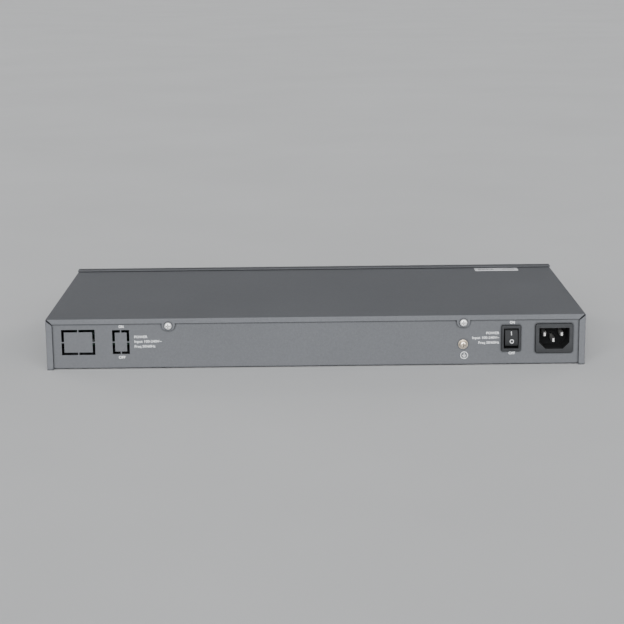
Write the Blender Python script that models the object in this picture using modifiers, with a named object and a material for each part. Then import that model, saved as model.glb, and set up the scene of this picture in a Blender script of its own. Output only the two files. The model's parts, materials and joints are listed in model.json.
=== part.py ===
"""Rackmount network switch, one rack unit high: folded steel case, mains inlet and rocker switch
at the rear, network ports at the front. Lengths here are in millimetres and become metres when
each piece is finished. X runs along the width, Y from the ports to the mains panel, Z up."""

import itertools
import math

import bmesh
import bpy
from mathutils import Matrix, Vector

MM = 0.001
GAP = 0.3  # air between neighbouring pieces
WELD = 0.0001  # points closer than this become one
SLIVER = 0.5  # how far a cutter or a fused piece runs past the face it meets
FLAT = 0.001  # radians; faces closer to level than this become one

# Case
WIDTH = 440.0
CASE_DEPTH = 205.0  # front face to rear lip
FRONT_HEIGHT = 44.0
COVER_TOP = 42.5
SHEET = 1.0
BEND = 0.9
TRAY_FLOOR = 0.8  # underside of the tray
LIP_BOTTOM = 38.35
RETURN_WIDTH = 5.2
LABEL_SIZE = (39.8, 11.8)
MITRE = [(6.6, 5.9), (5.8, 5.9), (0.6, 1.1), (0.6, 0.4), (1.4, 0.4), (6.6, 5.2)]
MITRE_DEPTH = 1.9  # of that corner slot, which is given in from the side and down from the top
CORNER_RELIEF = (3.5, 2.5)  # cut out of the tray behind each mitred corner
FLANGE_DEPTH = 9.7
FRONT_SHEET = 1.2

# Rocker, about its pivot: along the face (z) and out of the panel (y)
ROCKER_TILT = math.radians(11.0)
ROCKER_HALF = 7.0
ROCKER_WIDTH = 10.3
ROCKER_CROWN = 6.4
ROCKER_FACE_RADIUS = 40.0
ROCKER_TIP_RADIUS = 0.7
PIVOT_BEHIND_BEZEL = 5.0
SWITCH_BEZEL = 2.0  # how far the bezel stands off the rear wall
TRUNNION = 0.9  # radius of the stub the rocker turns on


def rocker_outline():
    """Side outline of the rocker in (y, z) about its pivot, upper end pressed in."""
    points = [(-3.4, -2.4), (-3.4, 2.4), (0.2, ROCKER_HALF - 1.0)]
    face = []
    for step in range(9):
        z = ROCKER_HALF * (1.0 - step / 4.0)
        sag = ROCKER_FACE_RADIUS - math.sqrt(ROCKER_FACE_RADIUS**2 - z**2)
        face.append((ROCKER_CROWN - sag, z))
    top, bottom = face[0], face[-1]
    face[0] = (top[0], top[1] - ROCKER_TIP_RADIUS)
    face[-1] = (bottom[0], bottom[1] + ROCKER_TIP_RADIUS)
    points += [(top[0] - ROCKER_TIP_RADIUS, top[1])] + face
    points += [(bottom[0] - ROCKER_TIP_RADIUS, bottom[1]), (0.2, 1.0 - ROCKER_HALF)]
    cos, sin = math.cos(ROCKER_TILT), math.sin(ROCKER_TILT)
    return [(y * cos - z * sin, y * sin + z * cos) for y, z in points]


PIVOT_FROM_LIP = SWITCH_BEZEL - SHEET - GAP - PIVOT_BEHIND_BEZEL
REACH = PIVOT_FROM_LIP + max(y for y, z in rocker_outline())  # raised rocker past the lip
FRONT = -(CASE_DEPTH + REACH) / 2.0
LIP = FRONT + CASE_DEPTH
PANEL = LIP - SHEET - GAP  # outer face of the rear wall
SIDE = WIDTH / 2.0

# Rear wall, as (x, z)
INLET = (-194.4, 22.4)
INLET_HOLE = (27.6, 20.4)
SWITCH = (-159.3, 22.7)
SWITCH_HOLE = (13.6, 19.6)
EARTH = (-120.2, 18.0)
COVER_SCREWS = (-120.3, 120.0)
COVER_SCREW_Z = 36.4
SPARE_INLET = (180.15, 207.45, 12.3, 33.45)
SPARE_SWITCH = (152.05, 165.95, 12.8, 32.9)
KNOCKOUT_SLOT = 2.1
KNOCKOUT_BRIDGE = 1.0
BEZEL_SLOPE = 0.3  # chamfer round the front of the inlet and the switch

# Sides
VENT_COUNT = 16
VENT_PITCH = 5.0
VENT_SIZE = (2.4, 16.0)
VENT_CENTRE = (20.0, 24.0)
EAR_HOLES = [(FRONT + 14.0 + 20.0 * i, 12.0 + 20.0 * j) for i in (0, 1) for j in (0, 1)]
SIDE_SCREW = (LIP - 40.0, 12.0)

# Boards
BOARD_UNDER = 7.1
BOARD_TOP = 8.7
ON_BOARD = BOARD_TOP + GAP
MAIN_BOARD = (-117.0, 213.0, FRONT + 2.0, FRONT + 150.0)
SUPPLY_BOARD = (-213.0, -125.0, FRONT + 41.0, FRONT + 158.0)
MAIN_STANDOFFS = [(x, FRONT + y) for x in (-108.0, 205.0) for y in (34.0, 142.0)]
SUPPLY_STANDOFFS = [(x, FRONT + y) for x in (-208.0, -130.0) for y in (47.0, 150.0)]

# Front
JACK_BLOCKS = {"left": -76.0, "middle": -15.0, "right": 46.0}
JACK_COLUMNS = 4
JACK_PITCH = 14.0
JACK_SIZE = (57.4, 26.0, 26.0)
JACK_HOLE = (11.8, 13.0, 6.9)
JACK_ROWS = {"lower": 13.9, "upper": 23.2}
JACK_STEPS = ((JACK_HOLE[0] / 2.0, 0.0), (3.1, 1.4), (2.0, 2.6))
CAGE_X = 122.0
CAGE_PORTS = 4
CAGE_PITCH = 14.4
CAGE_SIZE = (59.0, 48.0, 10.6)
CAGE_HOLE = (13.4, 46.0, 8.8)
LIGHTS = [176.0 + 6.0 * i for i in range(6)]
LIGHT_Z = 29.0
RESET = (165.0, 15.0)


def clear_scene():
    for obj in list(bpy.data.objects):
        bpy.data.objects.remove(obj, do_unlink=True)


def make_collection(name):
    made = bpy.data.collections.new(name)
    bpy.context.scene.collection.children.link(made)
    return made


def make_look(name, colour, roughness, metallic=0.0):
    look = bpy.data.materials.new(name)
    look.use_nodes = True
    shader = look.node_tree.nodes["Principled BSDF"]
    shader.inputs["Base Color"].default_value = (*colour, 1.0)
    shader.inputs["Roughness"].default_value = roughness
    shader.inputs["Metallic"].default_value = metallic
    look.diffuse_color = (*colour, 1.0)
    return look


clear_scene()
PARTS = make_collection("rackmount_network_switch")
CUTTERS = make_collection("cutters")
CUTTERS.hide_render = True

POWDER = make_look("powder_coat", (0.16, 0.165, 0.17), 0.6)
ZINC = make_look("galvanised_steel", (0.55, 0.56, 0.57), 0.4, 1.0)
CHROME = make_look("chrome_plate", (0.75, 0.75, 0.76), 0.2, 1.0)
BRASS = make_look("yellow_zinc", (0.6, 0.47, 0.2), 0.35, 1.0)
BLACK = make_look("black_plastic", (0.02, 0.02, 0.022), 0.45)
WHITE = make_look("white_nylon", (0.8, 0.8, 0.77), 0.5)
CLEAR = make_look("light_pipe_clear", (0.8, 0.85, 0.85), 0.15)
PAPER = make_look("label_film", (0.5, 0.5, 0.5), 0.5)
BOARD = make_look("circuit_board", (0.02, 0.16, 0.07), 0.45)
ALLOY = make_look("aluminium", (0.6, 0.61, 0.62), 0.35, 1.0)
FERRITE = make_look("ferrite", (0.05, 0.05, 0.055), 0.6)
TAPE = make_look("winding_tape", (0.75, 0.6, 0.12), 0.5)
CHIP = make_look("chip_epoxy", (0.025, 0.025, 0.028), 0.5)
FILM = make_look("insulating_film", (0.7, 0.7, 0.66), 0.4)
RED = make_look("wire_red", (0.5, 0.03, 0.02), 0.45)
BROWN = make_look("wire_brown", (0.18, 0.07, 0.03), 0.45)
BLUE = make_look("wire_blue", (0.03, 0.08, 0.4), 0.45)
GREEN = make_look("wire_earth", (0.2, 0.4, 0.05), 0.45)
DARK = make_look("wire_black", (0.02, 0.02, 0.02), 0.45)


def finish(name, bm, look, origin=(0.0, 0.0, 0.0), round_piece=False):
    """Turns millimetres into metres about the origin and links the named piece."""
    bmesh.ops.recalc_face_normals(bm, faces=bm.faces)
    matrix = Matrix.Scale(MM, 4) @ Matrix.Translation(-Vector(origin))
    bmesh.ops.transform(bm, matrix=matrix, verts=bm.verts)
    mesh = bpy.data.meshes.new(name)
    bm.to_mesh(mesh)
    bm.free()
    mesh.materials.append(look)
    if round_piece:
        mesh.polygons.foreach_set("use_smooth", [True] * len(mesh.polygons))
        mesh.set_sharp_from_angle(angle=math.radians(35.0))
    obj = bpy.data.objects.new(name, mesh)
    obj.location = Vector(origin) * MM
    PARTS.objects.link(obj)
    return obj


def combine(target, bm, operation):
    """Adds a Boolean of the given kind with a hidden helper."""
    label = f"{target.name}_{operation.lower()}_{len(target.modifiers)}"
    bmesh.ops.recalc_face_normals(bm, faces=bm.faces)
    matrix = Matrix.Translation(-target.location) @ Matrix.Scale(MM, 4)
    bmesh.ops.transform(bm, matrix=matrix, verts=bm.verts)
    mesh = bpy.data.meshes.new(label)
    bm.to_mesh(mesh)
    bm.free()
    helper = bpy.data.objects.new(label, mesh)
    helper.location = target.location
    helper.display_type = "WIRE"
    helper.hide_render = True
    CUTTERS.objects.link(helper)
    change = target.modifiers.new(label, "BOOLEAN")
    change.operation = operation
    change.solver = "EXACT"
    change.object = helper


def cut(target, bm):
    combine(target, bm, "DIFFERENCE")


def fuse(target, bm):
    combine(target, bm, "UNION")


def add_box(bm, low, high):
    made = bmesh.ops.create_cube(bm, size=1.0)
    size = Vector(high) - Vector(low)
    centre = (Vector(high) + Vector(low)) / 2.0
    bmesh.ops.transform(bm, matrix=Matrix.LocRotScale(centre, None, size), verts=made["verts"])


def realise(bm, data, modify=None, flat_ends=False):
    """Adds the mesh that a temporary object of this data evaluates to."""
    temporary = bpy.data.objects.new("temporary", data)
    bpy.context.scene.collection.objects.link(temporary)
    if modify:
        modify(temporary)
    graph = bpy.context.evaluated_depsgraph_get()
    mesh = bpy.data.meshes.new_from_object(temporary.evaluated_get(graph))
    bpy.data.objects.remove(temporary, do_unlink=True)
    piece = bmesh.new()
    piece.from_mesh(mesh)
    bmesh.ops.remove_doubles(piece, verts=piece.verts, dist=WELD)
    if flat_ends:
        limit = {"angle_limit": FLAT, "verts": piece.verts, "edges": piece.edges}
        bmesh.ops.dissolve_degenerate(piece, dist=WELD, edges=piece.edges)
        bmesh.ops.dissolve_limit(piece, **limit)
    bmesh.ops.recalc_face_normals(piece, faces=piece.faces)
    piece.to_mesh(mesh)
    piece.free()
    before = set(bm.verts)
    bm.from_mesh(mesh)
    bpy.data.meshes.remove(mesh)
    return [vert for vert in bm.verts if vert not in before]


def add_prism(bm, outline, axis, start, end):
    """Extrudes an outline, given in the two other axes in order, along axis 0, 1 or 2."""
    curve = bpy.data.curves.new("outline", "CURVE")
    curve.dimensions = "2D"
    curve.fill_mode = "BOTH"
    curve.extrude = (end - start) / 2.0
    spline = curve.splines.new("POLY")
    spline.use_cyclic_u = True
    spline.points.add(len(outline) - 1)
    for point, (first, second) in zip(spline.points, outline):
        point.co = (first, second, 0.0, 1.0)
    verts = realise(bm, curve, flat_ends=True)
    for vert in verts:
        place = [vert.co.x, vert.co.y]
        place.insert(axis, start if vert.co.z < 0.0 else end)
        vert.co = place
    bm.normal_update()


def add_turned(bm, profile, centre, axis, sides=20, ring=False):
    """Turns (radius, along) points about an axis with a Screw. A ring has a hole through it."""
    if not ring:
        profile = [(0.0, profile[0][1])] + profile + [(0.0, profile[-1][1])]
    profile = list(dict.fromkeys(profile))
    mesh = bpy.data.meshes.new("profile")
    edges = [(index, index + 1) for index in range(len(profile) - 1)]
    if ring:
        edges.append((len(profile) - 1, 0))
    mesh.from_pydata([(radius, 0.0, along) for radius, along in profile], edges, [])

    def screw(temporary):
        turn = temporary.modifiers.new("turn", "SCREW")
        turn.steps = sides
        turn.render_steps = sides
        turn.use_merge_vertices = True
        turn.merge_threshold = WELD

    verts = realise(bm, mesh, screw)
    turn = Vector((0.0, 0.0, 1.0)).rotation_difference(Vector(axis)).to_matrix().to_4x4()
    matrix = Matrix.Translation(Vector(centre)) @ turn
    bmesh.ops.transform(bm, matrix=matrix, verts=verts)
    bm.normal_update()


def add_rod(bm, centre, axis, radius, start, end, sides=20):
    made = bmesh.ops.create_cone(
        bm, cap_ends=True, segments=sides, radius1=radius, radius2=radius, depth=end - start
    )
    turn = Vector((0.0, 0.0, 1.0)).rotation_difference(Vector(axis)).to_matrix().to_4x4()
    middle = Vector(centre) + Vector(axis) * (start + end) / 2.0
    bmesh.ops.transform(bm, matrix=Matrix.Translation(middle) @ turn, verts=made["verts"])


def rounded(width, height, radius, centre=(0.0, 0.0), steps=3):
    """Outline of a rectangle with rounded corners."""
    points = []
    for corner in range(4):
        side = 1.0 if corner in (0, 3) else -1.0
        level = 1.0 if corner in (0, 1) else -1.0
        for step in range(steps + 1):
            angle = math.pi / 2.0 * (corner + step / steps)
            first = side * (width / 2.0 - radius) + radius * math.cos(angle)
            second = level * (height / 2.0 - radius) + radius * math.sin(angle)
            points.append((centre[0] + first, centre[1] + second))
    return points


def smooth_path(points, steps=5):
    """Catmull-Rom curve through the points."""
    given = [Vector(point) for point in points]
    padded = [given[0]] + given + [given[-1]]
    path = []
    for index in range(len(given) - 1):
        before, start, end, after = padded[index : index + 4]
        for step in range(steps):
            t = step / steps
            bend = 2.0 * start + (end - before) * t
            bend += (2.0 * before - 5.0 * start + 4.0 * end - after) * t * t
            bend += (3.0 * start - before - 3.0 * end + after) * t**3
            path.append(bend / 2.0)
    return path + [given[-1]]


def add_tube(bm, points, radius):
    """Round wire along a smooth path, closed at both ends."""
    path = smooth_path(points)
    curve = bpy.data.curves.new("wire", "CURVE")
    curve.dimensions = "3D"
    curve.bevel_depth = radius
    curve.bevel_resolution = 1
    curve.use_fill_caps = True
    spline = curve.splines.new("POLY")
    spline.points.add(len(path) - 1)
    for point, place in zip(spline.points, path):
        point.co = (*place, 1.0)
    realise(bm, curve)


def add_bend_cutter(bm, axis, corner, inward, radius, start, end):
    """Waste left outside a rounded edge; inward gives the signs that point into the sheet."""
    outline = [(corner[0] - inward[0] * SLIVER, corner[1] - inward[1] * SLIVER)]
    outline.append((corner[0] + inward[0] * radius, corner[1] - inward[1] * SLIVER))
    for step in range(5):
        angle = math.pi / 2.0 * step / 4.0
        first = corner[0] + inward[0] * radius * (1.0 - math.sin(angle))
        second = corner[1] + inward[1] * radius * (1.0 - math.cos(angle))
        outline.append((first, second))
    outline.append((corner[0] - inward[0] * SLIVER, corner[1] + inward[1] * radius))
    add_prism(bm, outline, axis, start, end)


def simple_box(name, low, high, look):
    bm = bmesh.new()
    add_box(bm, low, high)
    return finish(name, bm, look)


def slab_with_holes(name, low, high, holes, radius, look):
    """Flat board or sheet with round holes at (x, y)."""
    board = simple_box(name, low, high, look)
    bm = bmesh.new()
    for x, y in holes:
        add_rod(bm, (x, y, 0.0), (0, 0, 1), radius, low[2] - SLIVER, high[2] + SLIVER, 12)
    cut(board, bm)
    return board


def side_holes(bm, x_from, x_to, radius):
    """Cutters for the rack-ear holes."""
    for y, z in EAR_HOLES:
        add_rod(bm, (0.0, y, z), (1, 0, 0), radius, x_from, x_to, 12)


def make_base_tray():
    half = SIDE - SHEET - GAP
    top = COVER_TOP - SHEET - GAP
    start = FRONT + FRONT_SHEET + GAP
    bm = bmesh.new()
    add_box(bm, (-half, start, TRAY_FLOOR), (half, PANEL, top))
    tray = finish("base_tray", bm, POWDER)
    bm = bmesh.new()
    inner = (half - SHEET, PANEL - SHEET, top + SLIVER)
    add_box(bm, (SHEET - half, start - SLIVER, TRAY_FLOOR + SHEET), inner)
    add_bend_cutter(bm, 0, (PANEL, TRAY_FLOOR), (-1, 1), BEND, -SIDE, SIDE)
    cut(tray, bm)
    bm = bmesh.new()
    for x, y in MAIN_STANDOFFS + SUPPLY_STANDOFFS:
        low, high = TRAY_FLOOR + SHEET - SLIVER, BOARD_UNDER - GAP
        add_rod(bm, (x, y, 0.0), (0, 0, 1), 3.0, low, high, 12)
    fuse(tray, bm)
    bm = bmesh.new()
    for x, y in MAIN_STANDOFFS + SUPPLY_STANDOFFS:
        add_rod(bm, (x, y, 0.0), (0, 0, 1), 1.6, 2.3, BOARD_UNDER, 12)
    back = (PANEL - SHEET - SLIVER, PANEL + SLIVER)
    for centre, size in ((INLET, INLET_HOLE), (SWITCH, SWITCH_HOLE)):
        add_prism(bm, rounded(*size, 0.8, centre), 1, *back)
    add_rod(bm, (EARTH[0], 0.0, EARTH[1]), (0, 1, 0), 2.3, *back, 16)
    for x in COVER_SCREWS:
        add_rod(bm, (x, 0.0, COVER_SCREW_Z), (0, 1, 0), 1.75, *back, 12)
    for knockout in (SPARE_INLET, SPARE_SWITCH):
        add_knockout(bm, knockout, back)
    for sign in (-1, 1):
        edges = sorted((sign * (half - CORNER_RELIEF[0]), sign * (half + SLIVER)))
        low = (edges[0], back[0], top - CORNER_RELIEF[1])
        add_box(bm, low, (edges[1], back[1], top + SLIVER))
    cut(tray, bm)
    bm = bmesh.new()
    for sign in (-1, 1):
        edges = sorted((sign * (half - SHEET - SLIVER), sign * (half + SLIVER)))
        side_holes(bm, *edges, 1.9)
        add_rod(bm, (0.0, *SIDE_SCREW), (1, 0, 0), 1.75, *edges, 12)
        span = VENT_COUNT * VENT_PITCH / 2.0 + 2.0
        low = (edges[0], VENT_CENTRE[0] - span, VENT_CENTRE[1] - 10.0)
        add_box(bm, low, (edges[1], VENT_CENTRE[0] + span, VENT_CENTRE[1] + 10.0))
    cut(tray, bm)


def add_knockout(bm, limits, back):
    """Four corner slots that leave the blank held by a bridge on each side."""
    left, right, bottom, top = limits
    centre_x, centre_z = (left + right) / 2.0, (bottom + top) / 2.0
    for x, toward_x in ((left, 1.0), (right, -1.0)):
        for z, toward_z in ((bottom, 1.0), (top, -1.0)):
            far_x = centre_x - toward_x * KNOCKOUT_BRIDGE / 2.0
            far_z = centre_z - toward_z * KNOCKOUT_BRIDGE / 2.0
            near_x = x + toward_x * KNOCKOUT_SLOT
            near_z = z + toward_z * KNOCKOUT_SLOT
            outline = [(x, z), (far_x, z), (far_x, near_z), (near_x, near_z)]
            outline += [(near_x, far_z), (x, far_z)]
            add_prism(bm, outline, 1, *back)


def tab_outline(centre):
    """Round-ended tab of the rear lip about a cover screw, in (x, z)."""
    corners = [(5.3, 39.5), (5.3, 36.2), (4.7, 34.2), (3.4, 32.9), (1.5, 32.3)]
    points = [(centre + x, z) for x, z in corners]
    return points + [(centre - x, z) for x, z in reversed(corners)]


def make_top_cover():
    start = FRONT + FRONT_SHEET + GAP
    bm = bmesh.new()
    outline = [(-SIDE, 0.0), (-SIDE, COVER_TOP), (SIDE, COVER_TOP), (SIDE, 0.0)]
    outline += [(SIDE - SHEET, 0.0), (SIDE - SHEET, COVER_TOP - SHEET)]
    outline += [(SHEET - SIDE, COVER_TOP - SHEET), (SHEET - SIDE, 0.0)]
    add_prism(bm, outline, 1, start, LIP)
    cover = finish("top_cover", bm, POWDER)
    bm = bmesh.new()
    lip = [(SIDE - SLIVER, COVER_TOP - SLIVER), (SIDE - RETURN_WIDTH, LIP_BOTTOM)]
    lip += [(RETURN_WIDTH - SIDE, LIP_BOTTOM), (SLIVER - SIDE, COVER_TOP - SLIVER)]
    add_prism(bm, lip, 1, LIP - SHEET, LIP)
    fuse(cover, bm)
    bm = bmesh.new()
    for x in COVER_SCREWS:
        add_prism(bm, tab_outline(x), 1, LIP - SHEET, LIP)
    fuse(cover, bm)
    bm = bmesh.new()
    for sign in (-1, 1):
        outer, inner = sign * (SIDE - SLIVER), sign * (SIDE - RETURN_WIDTH)
        corner = [(outer, 0.0), (inner, 0.0), (inner, LIP_BOTTOM - 1.0)]
        corner += [(outer, COVER_TOP - 1.5)]
        add_prism(bm, corner, 1, LIP - SHEET, LIP)
    fuse(cover, bm)
    bm = bmesh.new()
    for sign in (-1, 1):
        add_bend_cutter(bm, 1, (sign * SIDE, COVER_TOP), (-sign, -1), BEND, start - 1.0, LIP + 1.0)
    cut(cover, bm)
    bm = bmesh.new()
    add_bend_cutter(bm, 0, (LIP, COVER_TOP), (-1, -1), BEND, -SIDE - 1.0, SIDE + 1.0)
    cut(cover, bm)
    bm = bmesh.new()
    for sign in (-1, 1):
        add_bend_cutter(bm, 2, (sign * SIDE, LIP), (-sign, -1), BEND, -1.0, FRONT_HEIGHT)
    cut(cover, bm)
    bm = bmesh.new()
    for sign in (-1, 1):
        mitre = [(sign * (SIDE - x), COVER_TOP - z) for x, z in MITRE]
        add_prism(bm, mitre, 1, LIP - MITRE_DEPTH, LIP + SLIVER)
    for x in COVER_SCREWS:
        centre = (x, 0.0, COVER_SCREW_Z)
        add_rod(bm, centre, (0, 1, 0), 1.75, LIP - SHEET - SLIVER, LIP + SLIVER, 12)
    cut(cover, bm)
    bm = bmesh.new()
    for sign in (-1, 1):
        edges = sorted((sign * (SIDE - SHEET - 0.2), sign * (SIDE + SLIVER)))
        side_holes(bm, *edges, 2.1)
        add_rod(bm, (0.0, *SIDE_SCREW), (1, 0, 0), 1.75, *edges, 12)
        for index in range(VENT_COUNT):
            y = VENT_CENTRE[0] + VENT_PITCH * (index - (VENT_COUNT - 1) / 2.0)
            slot = rounded(*VENT_SIZE, VENT_SIZE[0] / 2.0, (y, VENT_CENTRE[1]), steps=2)
            add_prism(bm, slot, 0, *edges)
    cut(cover, bm)


def make_front_panel():
    bm = bmesh.new()
    back = FRONT + FLANGE_DEPTH
    outline = [(FRONT, 0.0), (FRONT + FRONT_SHEET, 0.0), (FRONT + FRONT_SHEET, 42.8)]
    outline += [(back, 42.8), (back, FRONT_HEIGHT), (FRONT + 0.9, FRONT_HEIGHT)]
    outline += [(FRONT + 0.3, FRONT_HEIGHT - 0.3), (FRONT, FRONT_HEIGHT - 0.9)]
    add_prism(bm, outline, 0, -SIDE, SIDE)
    panel = finish("front_panel", bm, POWDER)
    bm = bmesh.new()
    for sign in (-1, 1):
        edges = sorted((sign * 216.2, sign * 217.4))
        add_box(bm, (edges[0], FRONT + SLIVER, 4.0), (edges[1], FRONT + 42.0, 38.0))
    fuse(panel, bm)
    bm = bmesh.new()
    through = (FRONT - SLIVER, FRONT + FRONT_SHEET + SLIVER)
    for x in JACK_BLOCKS.values():
        half = JACK_SIZE[0] / 2.0 + GAP
        low = (x - half, through[0], ON_BOARD - GAP)
        add_box(bm, low, (x + half, through[1], ON_BOARD + JACK_SIZE[2] + GAP))
    half = CAGE_SIZE[0] / 2.0 + GAP
    low = (CAGE_X - half, through[0], ON_BOARD - GAP)
    add_box(bm, low, (CAGE_X + half, through[1], ON_BOARD + CAGE_SIZE[2] + GAP))
    for x in LIGHTS:
        add_prism(bm, rounded(2.6, 3.6, 0.5, (x, LIGHT_Z), steps=1), 1, *through)
    add_rod(bm, (RESET[0], 0.0, RESET[1]), (0, 1, 0), 1.7, *through, 16)
    cut(panel, bm)
    bm = bmesh.new()
    for sign in (-1, 1):
        side_holes(bm, *sorted((sign * 215.0, sign * 218.0)), 1.7)
    cut(panel, bm)


def make_screw(name, seat, axis, head, shank, look, slots=2):
    """Pan-head screw: head is (radius, height), shank is (radius, length), seat is under the head."""
    radius, height = head
    bm = bmesh.new()
    profile = [(0.0, -shank[1]), (shank[0] * 0.7, -shank[1]), (shank[0], -shank[1] + 0.5)]
    profile += [(shank[0], 0.0), (radius, 0.0), (radius, height * 0.45)]
    profile += [(radius * 0.82, height * 0.85), (radius * 0.5, height), (0.0, height)]
    add_turned(bm, profile, seat, axis, 16)
    screw = finish(name, bm, look, seat, round_piece=True)
    direction = Vector(axis)
    for index in range(slots):
        bm = bmesh.new()
        size = [radius * 0.62, 0.42]
        if index:
            size.reverse()
        add_box(bm, (-size[0], -size[1], height * 0.45), (size[0], size[1], height + 1.0))
        turn = Vector((0.0, 0.0, 1.0)).rotation_difference(direction).to_matrix().to_4x4()
        matrix = Matrix.Translation(Vector(seat)) @ turn
        bmesh.ops.transform(bm, matrix=matrix, verts=bm.verts)
        cut(screw, bm)
    return screw


def make_case_screws():
    for side, x in zip(("left", "right"), sorted(COVER_SCREWS, reverse=True)):
        seat = (x, LIP + GAP, COVER_SCREW_Z)
        make_screw(f"cover_screw_rear_{side}", seat, (0, 1, 0), (3.0, 1.8), (1.4, 6.0), CHROME)
    for side, sign in (("left", -1), ("right", 1)):
        seat = (sign * (SIDE - 0.7), *SIDE_SCREW)
        make_flush_screw(f"cover_screw_side_{side}", seat, (sign, 0, 0))


def make_flush_screw(name, seat, axis):
    """Low screw that sits in the side wall's hole, flush with the outside."""
    bm = bmesh.new()
    add_turned(bm, [(1.0, -4.0), (1.4, -3.5), (1.4, 0.2), (1.1, 0.5)], seat, axis, 12)
    screw = finish(name, bm, CHROME, seat, round_piece=True)
    bm = bmesh.new()
    x, y, z = seat
    edges = sorted((x + axis[0] * 0.1, x + axis[0] * 1.0))
    add_box(bm, (edges[0], y - 0.8, z - 0.25), (edges[1], y + 0.8, z + 0.25))
    cut(screw, bm)


def make_earth_terminal():
    x, z = EARTH
    bm = bmesh.new()
    washer = [(2.1, 0.0), (3.9, 0.0), (3.9, 0.5), (2.1, 0.5)]
    add_turned(bm, washer, (x, PANEL + GAP, z), (0, 1, 0), 20, ring=True)
    finish("earth_washer", bm, BRASS, round_piece=True)
    seat = (x, PANEL + 2.0 * GAP + 0.5, z)
    make_screw("earth_screw", seat, (0, 1, 0), (3.0, 2.6), (1.8, 9.0), BRASS)
    bm = bmesh.new()
    nut = [(2.1, 0.0), (3.9, 0.0), (3.9, 2.4), (2.1, 2.4)]
    add_turned(bm, nut, (x, PANEL - SHEET - GAP - 2.4, z), (0, 1, 0), 6, ring=True)
    finish("earth_nut", bm, BRASS)


def add_bezel(bm, centre, size, height, slope, radius):
    """Frame that stands off the rear wall, its front edge chamfered."""
    front = PANEL + GAP + height
    add_prism(bm, rounded(*size, radius, centre), 1, PANEL + GAP, front)
    edges = []
    for edge in bm.edges:
        on_front = all(abs(vert.co.y - front) < WELD for vert in edge.verts)
        if on_front and any(abs(face.normal.y) < 0.5 for face in edge.link_faces):
            edges.append(edge)
    bmesh.ops.bevel(bm, geom=edges, offset=slope, segments=1, affect="EDGES")


def inlet_outline(half_width, half_height, chamfer):
    """Mains inlet opening in (x, z) with its two lower corners cut off."""
    x, z = INLET
    left, right = x - half_width, x + half_width
    bottom, top = z - half_height, z + half_height
    points = [(right, top), (left, top), (left, bottom + chamfer), (left + chamfer, bottom)]
    return points + [(right - chamfer, bottom), (right, bottom + chamfer)]


def make_inlet():
    bm = bmesh.new()
    add_bezel(bm, INLET, (30.5, 24.3), 1.7, BEZEL_SLOPE, 1.6)
    housing = finish("inlet_housing", bm, BLACK)
    bm = bmesh.new()
    body = rounded(27.0, 19.8, 0.6, INLET)
    add_prism(bm, body, 1, PANEL - 18.0, PANEL + GAP + SLIVER)
    fuse(housing, bm)
    bm = bmesh.new()
    add_prism(bm, inlet_outline(12.3, 8.7, 5.2), 1, PANEL - 15.5, PANEL + 3.0)
    cut(housing, bm)
    pins = {"line": (-187.0, 25.2), "neutral": (-201.0, 25.2), "earth": (-194.0, 20.6)}
    bm = bmesh.new()
    for x, z in pins.values():
        add_box(bm, (x - 1.3, PANEL - 19.0, z - 2.3), (x + 1.3, PANEL - 15.0, z + 2.3))
    cut(housing, bm)
    for name, (x, z) in pins.items():
        tip = PANEL + (0.6 if name == "earth" else -0.6)
        bm = bmesh.new()
        outline = [(tip, z - 1.3), (tip, z + 1.3), (tip - 1.2, z + 2.0), (PANEL - 19.5, z + 2.0)]
        outline += [(PANEL - 19.5, z - 2.0), (tip - 1.2, z - 2.0)]
        add_prism(bm, outline, 0, x - 1.0, x + 1.0)
        tip_edges = []
        for edge in bm.edges:
            on_tip = all(abs(vert.co.y - tip) < WELD for vert in edge.verts)
            if on_tip and abs(edge.verts[0].co.z - edge.verts[1].co.z) > WELD:
                tip_edges.append(edge)
        bmesh.ops.bevel(bm, geom=tip_edges, offset=0.6, segments=2, affect="EDGES", profile=0.5)
        pin = finish(f"inlet_pin_{name}", bm, CHROME)
        bm = bmesh.new()
        add_box(bm, (x - 0.4, PANEL - 27.0, z - 2.4), (x + 0.4, PANEL - 19.0, z + 2.4))
        fuse(pin, bm)


def make_rocker_switch():
    x, z = SWITCH
    bezel_front = PANEL + SWITCH_BEZEL
    bm = bmesh.new()
    add_bezel(bm, SWITCH, (15.5, 21.5), SWITCH_BEZEL - GAP, BEZEL_SLOPE, 0.8)
    body = finish("switch_body", bm, BLACK)
    bm = bmesh.new()
    add_prism(bm, rounded(13.0, 19.0, 0.5, SWITCH), 1, PANEL - 17.0, PANEL + GAP + SLIVER)
    fuse(body, bm)
    bm = bmesh.new()
    add_box(bm, (x - 6.0, PANEL - 9.0, z - 8.4), (x + 6.0, bezel_front + 1.0, z + 8.4))
    for level in (-5.0, 5.0):
        low = (x - 0.7, PANEL - 18.0, z + level - 2.7)
        add_box(bm, low, (x + 0.7, PANEL - 12.0, z + level + 2.7))
    cut(body, bm)
    pivot = (x, bezel_front - PIVOT_BEHIND_BEZEL, z)
    bm = bmesh.new()
    add_rod(bm, pivot, (1, 0, 0), TRUNNION + GAP, -7.0, 7.0, 12)
    cut(body, bm)
    for name, level in (("live", 5.0), ("switched", -5.0)):
        low = (x - 0.4, PANEL - 25.0, z + level - 2.4)
        high = (x + 0.4, PANEL - 12.3, z + level + 2.4)
        simple_box(f"switch_terminal_{name}", low, high, CHROME)
    bm = bmesh.new()
    outline = [(pivot[1] + y, z + up) for y, up in rocker_outline()]
    add_prism(bm, outline, 0, x - ROCKER_WIDTH / 2.0, x + ROCKER_WIDTH / 2.0)
    rocker = finish("switch_rocker", bm, BLACK, pivot)
    bm = bmesh.new()
    add_rod(bm, pivot, (1, 0, 0), TRUNNION, -6.3, 6.3, 12)
    fuse(rocker, bm)


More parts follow.
